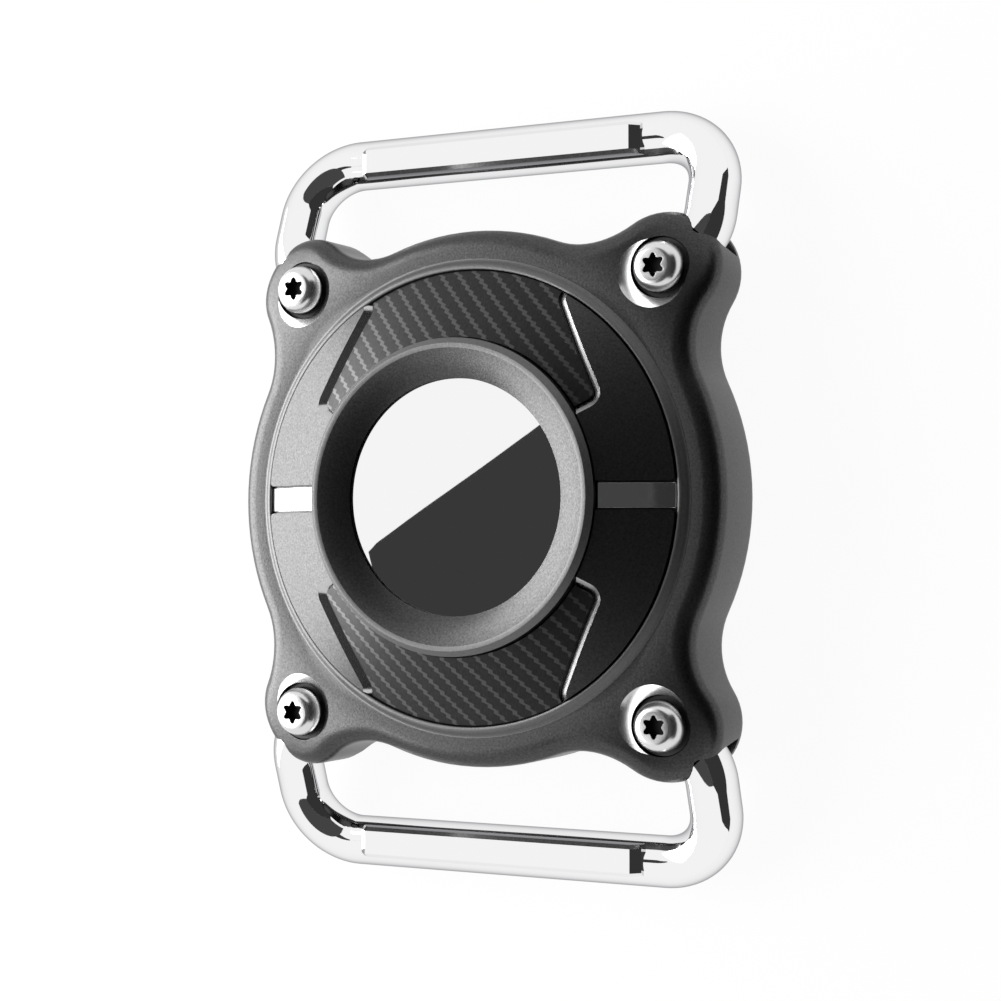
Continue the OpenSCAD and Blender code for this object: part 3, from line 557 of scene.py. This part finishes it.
# %% Rear cover
bm = bmesh.new()
ring = outline(bm)
first = ring
place_ring(bm, inset(1.05, REAR_Z))
rules = [inset(1.05 - REAR_EDGE * math.sin(a), REAR_Z + REAR_EDGE * (1 - math.cos(a)))
         for a in (math.radians(15 * k) for k in range(1, 7))]
rules += [inset(REAR_INSET, 3.75), inset(0.3, FLOOR_Z)]
rules += [circle(r, z) for r, z in
          [(19.05, FLOOR_Z), (19.05, 3.05), (17.95, 3.05), (17.95, FLOOR_Z), (17.25, FLOOR_Z), (17.25, 6.5),
           (13.65, 6.5), (13.65, FLOOR_Z), (6.0, FLOOR_Z)]]
for rule in rules:
    ring = grow(bm, ring, rule)
bmesh.ops.edgeloop_fill(bm, edges=ring)
bmesh.ops.edgeloop_fill(bm, edges=first)
rear = as_object(bm, "rear")
carve(rear, [rod(EYE_R, 3.0, 6.05, at(c)) for c in ALL_FOUR], "UNION")
rear_channels = [carve(channel(side, -1), [rod(WEB_R, 0, 40, at(c)) for c in pair])
                 for side, pair in ((1, UPPER), (-1, LOWER))]
insert_hole = [(0, 3.15), (BORE_R, 3.15), (BORE_R, 3.3), (2.125, 3.3), (2.125, 9), (0, 9)]
holes = [turned(insert_hole, "hole", 48, at(c)) for c in ALL_FOUR]
carve(rear, rear_channels + holes)
finish_piece(rear, "rear_cover", "rear", anodised)

# %% [markdown]
# ## The opening between the wings
# The centre disc is a shallow cone. Above and below it is opened, so that a left and a right wing
# remain, and the carbon shows between them. A pen draws half of the opening with lines and turns,
# a mirror completes it, and its wall leans at 45 degrees: that wall is the bright bevel round the
# wings.

# %% Draw the opening
def polar(r, degrees):
    return Vector((math.cos(math.radians(degrees)), math.sin(math.radians(degrees)))) * r


def pen(bm, start, moves):
    tip = bm.verts.new((*start, 0))
    for move in moves:
        if len(move) == 2:
            tip = bmesh.ops.extrude_vert_indiv(bm, verts=[tip])["verts"][0]
            tip.co = (*move, 0)
            continue
        centre, turn, steps = move
        last = bmesh.ops.spin(bm, geom=[tip], cent=(*centre, 0), axis=(0, 0, 1),
                              angle=math.radians(turn), steps=steps)["geom_last"]
        tip = verts_in(last)[0]


def opening(bm):
    corner, end = polar(19.75, 29.5), polar(DISC_OUT, 61)
    line = math.degrees(math.atan2(*(end - corner).yx))
    fillet = corner + polar(1.6 / math.sin(math.radians((209.5 - line) / 2)), (line + 209.5) / 2)
    hook = end + polar(0.9, line - 90) - polar(1.08, line)
    last = hook + polar(0.9, line + 18) + polar(4, line - 72)
    pen(bm, polar(14.75, 29.5), [polar(16.2, 29.5), fillet + polar(1.6, -60.5), (fillet, line - 29.5, 10),
                                 hook + polar(0.9, line + 90), (hook, -72, 8), last, (last.x, DISC_OUT + 3)])
    bmesh.ops.mirror(bm, geom=bm.verts[:] + bm.edges[:], merge_dist=1e-5, axis="X")
    ends = sorted((v for v in bm.verts if len(v.link_edges) == 1), key=lambda v: v.co.y)
    bm.edges.new(ends[:2])
    bm.edges.new(ends[2:])
    long_edges = [e for e in bm.edges if e.calc_length() > 4 and e.verts[0].co.x * e.verts[1].co.x > 0]
    bmesh.ops.subdivide_edges(bm, edges=long_edges, cuts=6)
    return close_ring(bm)


def on_cone(d, lift):
    def place(p, n):
        q = (p + n * d).xy
        return Vector((*q, cone_z(q.length) + lift))
    return place


def opening_tool(levels, side, material=None):
    bm = bmesh.new()
    ring = first = opening(bm)
    place_ring(bm, inset(-levels[0][0], 0))
    for d, lift in levels:
        ring = grow(bm, ring, on_cone(d, lift))
    ring = grow(bm, ring, inset(-levels[-1][0], 34))
    bmesh.ops.edgeloop_fill(bm, edges=ring)
    bmesh.ops.edgeloop_fill(bm, edges=first)
    bmesh.ops.scale(bm, verts=bm.verts, vec=(1, side, 1))
    tool = as_object(bm, "opening")
    if material:
        tool.data.materials.append(material)
    return tool


def cone_band(low, high, inner=DISC_IN - 1, outer=DISC_OUT + 1, material=None):
    band = turned([(inner, cone_z(inner) + low), (outer, cone_z(outer) + low),
                   (outer, cone_z(outer) + high), (inner, cone_z(inner) + high)], "band")
    if material:
        band.data.materials.append(material)
    return band


# %% [markdown]
# ## The centre disc
# The disc is turned, opened twice, and slotted for the bars. The Boolean carries each cutter's
# material into the cut, so the leaning walls come out bright and the floors stay anodised.

# %% Centre disc
def bar_slot(side):
    bm = bmesh.new()
    pen(bm, (DISC_IN - 1, 1.5), [(23.5, 1.5), ((23.5, 2.1), 90, 6), (26.0, 2.1)])
    bmesh.ops.mirror(bm, geom=bm.verts[:] + bm.edges[:], merge_dist=1e-5, axis="Y")
    ends = sorted((v for v in bm.verts if len(v.link_edges) == 1), key=lambda v: v.co.x)
    bm.edges.new(ends[:2])
    bm.edges.new(ends[2:])
    face = bmesh.ops.edgeloop_fill(bm, edges=bm.edges)["faces"]
    made = bmesh.ops.extrude_face_region(bm, geom=face)["geom"]
    bmesh.ops.translate(bm, verts=verts_in(made), vec=(0, 0, 30))
    bmesh.ops.scale(bm, verts=bm.verts, vec=(side, 1, 1))
    return as_object(bm, "slot")


disc = turned([(16.75, 14.958), (16.75, 16.8), (24.1, 13.75), (24.1, 12.451), (18.3, 14.858), (18.3, 14.958)],
              "disc", 192)
disc.data.materials.append(anodised)
for side in (1, -1):
    tool = opening_tool([(-0.95, -0.95), (0.55, 0.55)], side, bright_cut)
    carve(disc, [carve(tool, [cone_band(-0.9, 3, material=anodised)], "INTERSECT")])
for side in (1, -1):
    slot = carve(bar_slot(side), [cone_band(-0.75, 3)], "INTERSECT")
    carve(disc, [coated(slot, anodised)])
finish_piece(disc, "centre_disc", "front", edge=0.05)

# %% [markdown]
# ## Inlays and accent bars
# An inlay is a slice of the cone, 0.3 mm thick, cut to the opening. A bar is a short section drawn
# from the side and extruded across, with a slope at its outer end.

# %% Inlays and bars
for name, side in (("carbon_inlay_upper", 1), ("carbon_inlay_lower", -1)):
    sheet = cone_band(-0.85, -0.55, DISC_IN + 0.05, DISC_OUT - 0.05)
    carve(sheet, [opening_tool([(-0.95, -1.0), (-0.95, 0.55)], side)], "INTERSECT")
    finish_piece(sheet, name, "front", carbon, edge=0.03)

for name, side in (("accent_bar_left", -1), ("accent_bar_right", 1)):
    bm = bmesh.new()
    section = [(16.8, cone_z(16.75) - 0.7), (24.05, cone_z(24.1) - 0.7), (24.05, cone_z(24.1) - 0.5),
               (23.45, cone_z(23.45) - 0.3), (16.8, cone_z(16.75) - 0.3)]
    corners = [bm.verts.new((r, -1.3, z)) for r, z in section]
    face = bmesh.ops.contextual_create(bm, geom=corners)["faces"]
    made = bmesh.ops.extrude_face_region(bm, geom=face)["geom"]
    bmesh.ops.translate(bm, verts=verts_in(made), vec=(0, 2.6, 0))
    bmesh.ops.scale(bm, verts=bm.verts, vec=(side, 1, 1))
    finish_piece(as_object(bm, name), name, "front", trim, edge=0.08)

# %% [markdown]
# ## Turned pieces
# The window ring with its funnel, the seals, the cradle and the tag's own parts are all turned
# from their half sections.

# %% Window ring, seals and cradle
def seal_z(r):
    return 15.75 - 0.65 / 1.6 * (r - 13.4)


funnel = [(12.9, 15.78), (12.5, 16.0), (12.5, 16.05), (15.55, 17.75)]
lip = [(16.05, 17.75), (16.65, 17.15), (16.65, 14.908)]
flange = [(18.2, 14.908), (18.2, 14.108), (16.2, 14.108), (15.0, seal_z(15.0)), (13.4, 15.75)]
frame_ring = turned(funnel + lip + flange, "ring", 192)
coated(frame_ring, anodised).data.materials.append(rim_highlight)
# the lip's faces take the paler copy: a painted highlight on the lip
for face in frame_ring.data.polygons:
    face.material_index = int(face.center.z > 17.3 and face.center.xy.length > 15.6)
finish_piece(frame_ring, "window_ring", "front", edge=0.07)
gasket = [(13.6, seal_z(13.6) - 0.05), (15.0, seal_z(15.0) - 0.05), (15.0, seal_z(15.0) - 0.29),
          (13.6, seal_z(13.6) - 0.29)]
finish_piece(turned(gasket, "gasket"), "window_seal", "front", rubber, edge=0.05)
cord = [(r, z) for r, z in arc((18.5, 3.475), 0.5, 58, -58, 6) + arc((18.5, 3.475), 0.5, 238, 122, 6)]
finish_piece(turned(cord, "cord"), "cover_seal", "rear", rubber, edge=0)


def belly(a):
    a = math.radians(a)
    return 9.0 + 6.95 * math.sin(a), 12.2 - 4.5 * math.cos(a)


def shoulder(a):
    a = math.radians(a)
    return 13.2 + 2.75 * math.cos(a), 12.2 + 3.1 * math.sin(a)


cup = [(r + 0.1, z - 0.05) for r, z in map(belly, range(88, -1, -8)) if z < 12.3]
finish_piece(turned([(0, 6.5), (17.3, 6.5), (17.3, 12.3)] + cup + [(0, 7.65)], "cup"),
             "tag_cradle", "rear", silicone, edge=0.12)

# %% Parts of the tag
shell = [(0, 7.7)] + [belly(a) for a in range(0, 91, 5)] + [shoulder(a) for a in range(5, 91, 5)]
shell += [(13.08, 15.3), (13.08, 14.25), (12.28, 14.25), (12.28, 13.65), (13.4, 12.8), (13.4, 11.6),
          (12.25, 9.75), (10.4, 9.75), (10.4, 8.7), (0, 8.7)]
finish_piece(turned(shell, "shell"), "tag_shell", "tag", white_plastic, edge=0.05)
dome = [(0, 15.7), (6.0, 15.697), (10.5, 15.69), (12.55, 15.683), (12.6, 15.682), (12.64, 15.677),
        (12.9, 15.6), (13.0, 15.1), (13.0, 14.3), (12.5, 14.3), (12.5, 14.8), (10.4, 15.2), (0, 15.2)]
finish_piece(turned(dome, "dome"), "tag_battery_cover", "tag_cap", steel, edge=0)
cell = [(0, 11.95), (8.4, 11.95), (8.4, 12.25), (10, 12.25), (10, 14.95), (9.8, 15.15), (0, 15.15)]
finish_piece(turned(cell, "cell"), "coin_cell", "tag", cell_steel, edge=0.12)
for node, material in (("threaded_inserts", brass), ("battery_contacts", gold), ("tag_circuit_board", board),
                       ("tag_sounder", cell_steel)):
    coated(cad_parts[node], material)

# %% [markdown]
# ## Screws and washers
# A pan head screw is turned, and its recess is a circle whose radius swells six times on the way
# round. The recess is cut straight down, and its walls are coloured near black as painted shade.

# %% Screws and washers
def recess(centre):
    bm = bmesh.new()
    bmesh.ops.create_circle(bm, cap_ends=True, radius=1.04, segments=72)
    for v in bm.verts:
        a = math.atan2(v.co.y, v.co.x)
        v.co *= 1 + 0.20 * math.cos(6 * (a - math.pi / 2))
    made = bmesh.ops.extrude_face_region(bm, geom=bm.faces[:])["geom"]
    bmesh.ops.translate(bm, verts=verts_in(made), vec=(0, 0, 4))
    bmesh.ops.translate(bm, verts=bm.verts, vec=(*centre, 11.9))
    return as_object(bm, "recess")


head = [(2.75 - 1.21 * (1 - math.cos(a)), 11.2 + 2.0 * math.sin(a)) for a in
        (math.radians(10 * i) for i in range(10))]
for name, corner in CORNERS.items():
    screw = turned([(0, 3.2), (1.2, 3.2), (1.5, 3.5), (1.5, 10.8), (2.75, 10.8)] + head + [(0, 13.2)],
                   "screw", 96, at(corner))
    # the cutter's near black passes to the recess walls: painted shade
    carve(coated(screw, screw_steel), [coated(recess(at(corner)), recess_painted_shade)])
    tag = "".join(part[0] for part in name.split("_"))
    finish_piece(screw, "screw_" + name, "screw_" + tag, edge=0.05)
    # the washer fills the gap round the head, and its near black is partly painted shade
    washer = turned([(1.55, 10.3), (3.15, 10.3), (3.15, 10.8), (1.55, 10.8)], "washer", 64, at(corner))
    finish_piece(washer, "washer_" + name, "washer_" + tag, washer_black_and_shade, edge=0.08)

# %% [markdown]
# ## The strap loops
# The wire is 5.5 mm thick. A circle is extruded and spun along half of the path, mirrored, and
# leaned back. At the screws it is forged flat into an eye, and on the bar sits a bevelled pad
# that the strap runs over. The loops carry no Bevel modifier. Weighted normals keep the highlight on
# the pads' chamfers straight.

# %% Strap loops
def pad(side):
    bm = bmesh.new()
    bmesh.ops.create_cube(bm, size=1)
    bmesh.ops.scale(bm, verts=bm.verts, vec=(34, 3.35, 3.96))
    bmesh.ops.translate(bm, verts=bm.verts, vec=(0, BAR_Y - 0.35, 4.74))
    upper = [e for e in bm.edges if all(v.co.z > 5 for v in e.verts)]
    ends = [e for e in upper if abs(e.verts[0].co.x - e.verts[1].co.x) < 1]
    bmesh.ops.bevel(bm, geom=ends, offset=0.95, segments=1, profile=0.5, affect="EDGES", material=-1)
    upper = [e for e in bm.edges if all(v.co.z > 5 for v in e.verts)]
    sides = [e for e in upper if abs(e.verts[0].co.y - e.verts[1].co.y) < 0.1]
    bmesh.ops.bevel(bm, geom=sides, offset=0.4, segments=1, profile=0.5, affect="EDGES", material=-1)
    bmesh.ops.scale(bm, verts=bm.verts, vec=(1, side, 1))
    return as_object(bm, "pad")


def wire(side):
    bm = bmesh.new()
    turn = Matrix.Rotation(math.pi / 2, 4, "Y")
    bmesh.ops.create_circle(bm, cap_ends=True, radius=WIRE_R, segments=40, matrix=turn)
    start = bm.faces[:]
    made = bmesh.ops.extrude_face_region(bm, geom=start)["geom"]
    bmesh.ops.translate(bm, verts=verts_in(made), vec=(LEG_X - BEND_R, 0, 0))
    bmesh.ops.delete(bm, geom=start, context="FACES_ONLY")
    end = faces_in(made)
    last = bmesh.ops.spin(bm, geom=end, cent=(LEG_X - BEND_R, -BEND_R, 0), axis=(0, 0, -1),
                          angle=math.pi / 2, steps=20)["geom_last"]
    bmesh.ops.delete(bm, geom=[f for f in end if f.is_valid], context="FACES_ONLY")
    sweep_leg(bm, faces_in(last)[0])
    bmesh.ops.mirror(bm, geom=bm.verts[:] + bm.edges[:] + bm.faces[:], merge_dist=1e-4, axis="X")
    lean_back(bm, side)
    return as_object(bm, "wire")


for name, side, pair in (("strap_loop_upper", 1, UPPER), ("strap_loop_lower", -1, LOWER)):
    loop = wire(side)
    above = [rod(FORGED_R, EYE_HIGH, 20, at(c)) for c in pair]
    below = [rod(FORGED_R, -1, EYE_LOW, at(c)) for c in pair]
    carve(loop, above + below)
    carve(loop, [rod(EYE_R, EYE_LOW, EYE_HIGH, at(c)) for c in pair] + [pad(side)], "UNION")
    carve(loop, [rod(BORE_R, 0, 20, at(c)) for c in pair])
    finish_piece(loop, name, "rear", chrome, edge=0)
    weighted = loop.modifiers.new("weighted", "WEIGHTED_NORMAL")
    weighted.keep_sharp = True

# %% [markdown]
# ## Light and surroundings
# Polished metal is mostly a picture of what stands round it. Two soft boxes stand on the left, a wide
# one low over the floor and a narrow one above it. Dark cards overhead and on the right give the
# housing its dark side, and the slanting edge of the small split card draws the line across the tag's
# cover. The cards are hidden from the camera, and neither shade the holder nor tint plain surfaces.

# %% Camera, lights, cards and floor
def place_camera():
    yaw, pitch = math.radians(26.77), math.radians(-1.36)
    right = Vector((math.cos(yaw), 0, -math.sin(yaw)))
    back = Vector((math.sin(yaw) * math.cos(pitch), math.sin(pitch), math.cos(yaw) * math.cos(pitch)))
    up = back.cross(right)
    camera = put_in_scene("camera", bpy.data.cameras.new("camera"))
    camera.matrix_world = Matrix.LocRotScale(Vector((102.2, -5.5, 207.45)) * 0.001,
                                             Matrix((right, up, back)).transposed().to_quaternion(), None)
    camera.data.lens, camera.data.sensor_width, camera.data.clip_start = 74.59, 36.0, 0.01
    bpy.context.scene.camera = camera


def toward(place, target=(0, 0, 10)):
    back = (Vector(place) - Vector(target)).normalized()
    right = Vector((0, 1, 0)).cross(back).normalized()
    turn = Matrix((right, back.cross(right), back)).transposed()
    return Matrix.Translation(Vector(place) * 0.001) @ turn.to_4x4()


def soft_box(name, place, size, power):
    lamp = bpy.data.lights.new(name, "AREA")
    lamp.shape, lamp.size, lamp.size_y, lamp.energy = "RECTANGLE", size[0] * 0.001, size[1] * 0.001, power
    put_in_scene(name, lamp).matrix_world = toward(place)


def card(name, corners, colour):
    bm = bmesh.new()
    bmesh.ops.contextual_create(bm, geom=[bm.verts.new(Vector(c) * 0.001) for c in corners])
    obj = mesh_object(bm, name)
    felt, tree, shader = new_finish(name + "_felt", colour, 0.0, 1.0)
    glow = add(tree, "ShaderNodeEmission", {"Color": hex_colour(colour), "Strength": 1.0})
    tree.links.new(glow.outputs[0], tree.nodes["Material Output"].inputs["Surface"])
    obj.data.materials.append(felt)
    obj.visible_camera = obj.visible_shadow = obj.visible_diffuse = False


place_camera()
soft_box("key_side", (-380, 20, 134), (300, 450), 3.0)
soft_box("key_front", (-284, 20, 292), (110, 450), 0.8)
card("split_card", [(-256, -45, 420), (-256, -9.6, 420), (-120, 73.6, 420), (-120, -45, 420)], "#3a3a3a")
for name, (x1, z1), (x2, z2), colour in (("dark_card_front", (-120, 420.5), (300, 420.5), "#464646"),
                                         ("dark_card_right", (300, 420), (430, 60), "#343434"),
                                         ("dark_card_side", (430, 60), (430, -60), "#343434")):
    card(name, [(x1, -400, z1), (x1, 380, z1), (x2, 380, z2), (x2, -400, z2)], colour)
print("lamps:", len(bpy.data.lights))

# %% [markdown]
# ## Floor and background
# The floor and the world are white to the camera and to reflections, and plain to other rays, so
# the picture has a white ground without more light on the holder.

# %% Floor and world
def seen_directly(tree):
    """1 for rays from the camera, a reflection or a clear body, and 0 for all others"""
    path = add(tree, "ShaderNodeLightPath")
    seen = maths(tree, "MAXIMUM", path.outputs["Is Camera Ray"], path.outputs["Is Glossy Ray"])
    return maths(tree, "MAXIMUM", seen, path.outputs["Is Transmission Ray"])


bm = bmesh.new()
bmesh.ops.create_grid(bm, x_segments=1, y_segments=1, size=3.0)
floor = mesh_object(bm, "floor")
paper, tree, shader = new_finish("white_paper_floor", "#f4f4f4", 0.0, 0.9)
share = maths(tree, "MULTIPLY", seen_directly(tree), 0.94)
glow = add(tree, "ShaderNodeEmission", {"Color": (1, 1, 1, 1), "Strength": 1.0})
blend = add(tree, "ShaderNodeMixShader", {0: share, 1: shader.outputs[0], 2: glow.outputs[0]})
tree.links.new(blend.outputs[0], tree.nodes["Material Output"].inputs["Surface"])
floor.data.materials.append(paper)

world = bpy.data.worlds.new("studio")
bpy.context.scene.world = world
world.use_nodes = True
tree = world.node_tree
strength = maths(tree, "MULTIPLY_ADD", seen_directly(tree), 0.6, 0.4)
tree.nodes["Background"].inputs["Color"].default_value = (1, 1, 1, 1)
tree.links.new(strength, tree.nodes["Background"].inputs["Strength"])
bpy.context.scene.view_settings.view_transform = "Standard"
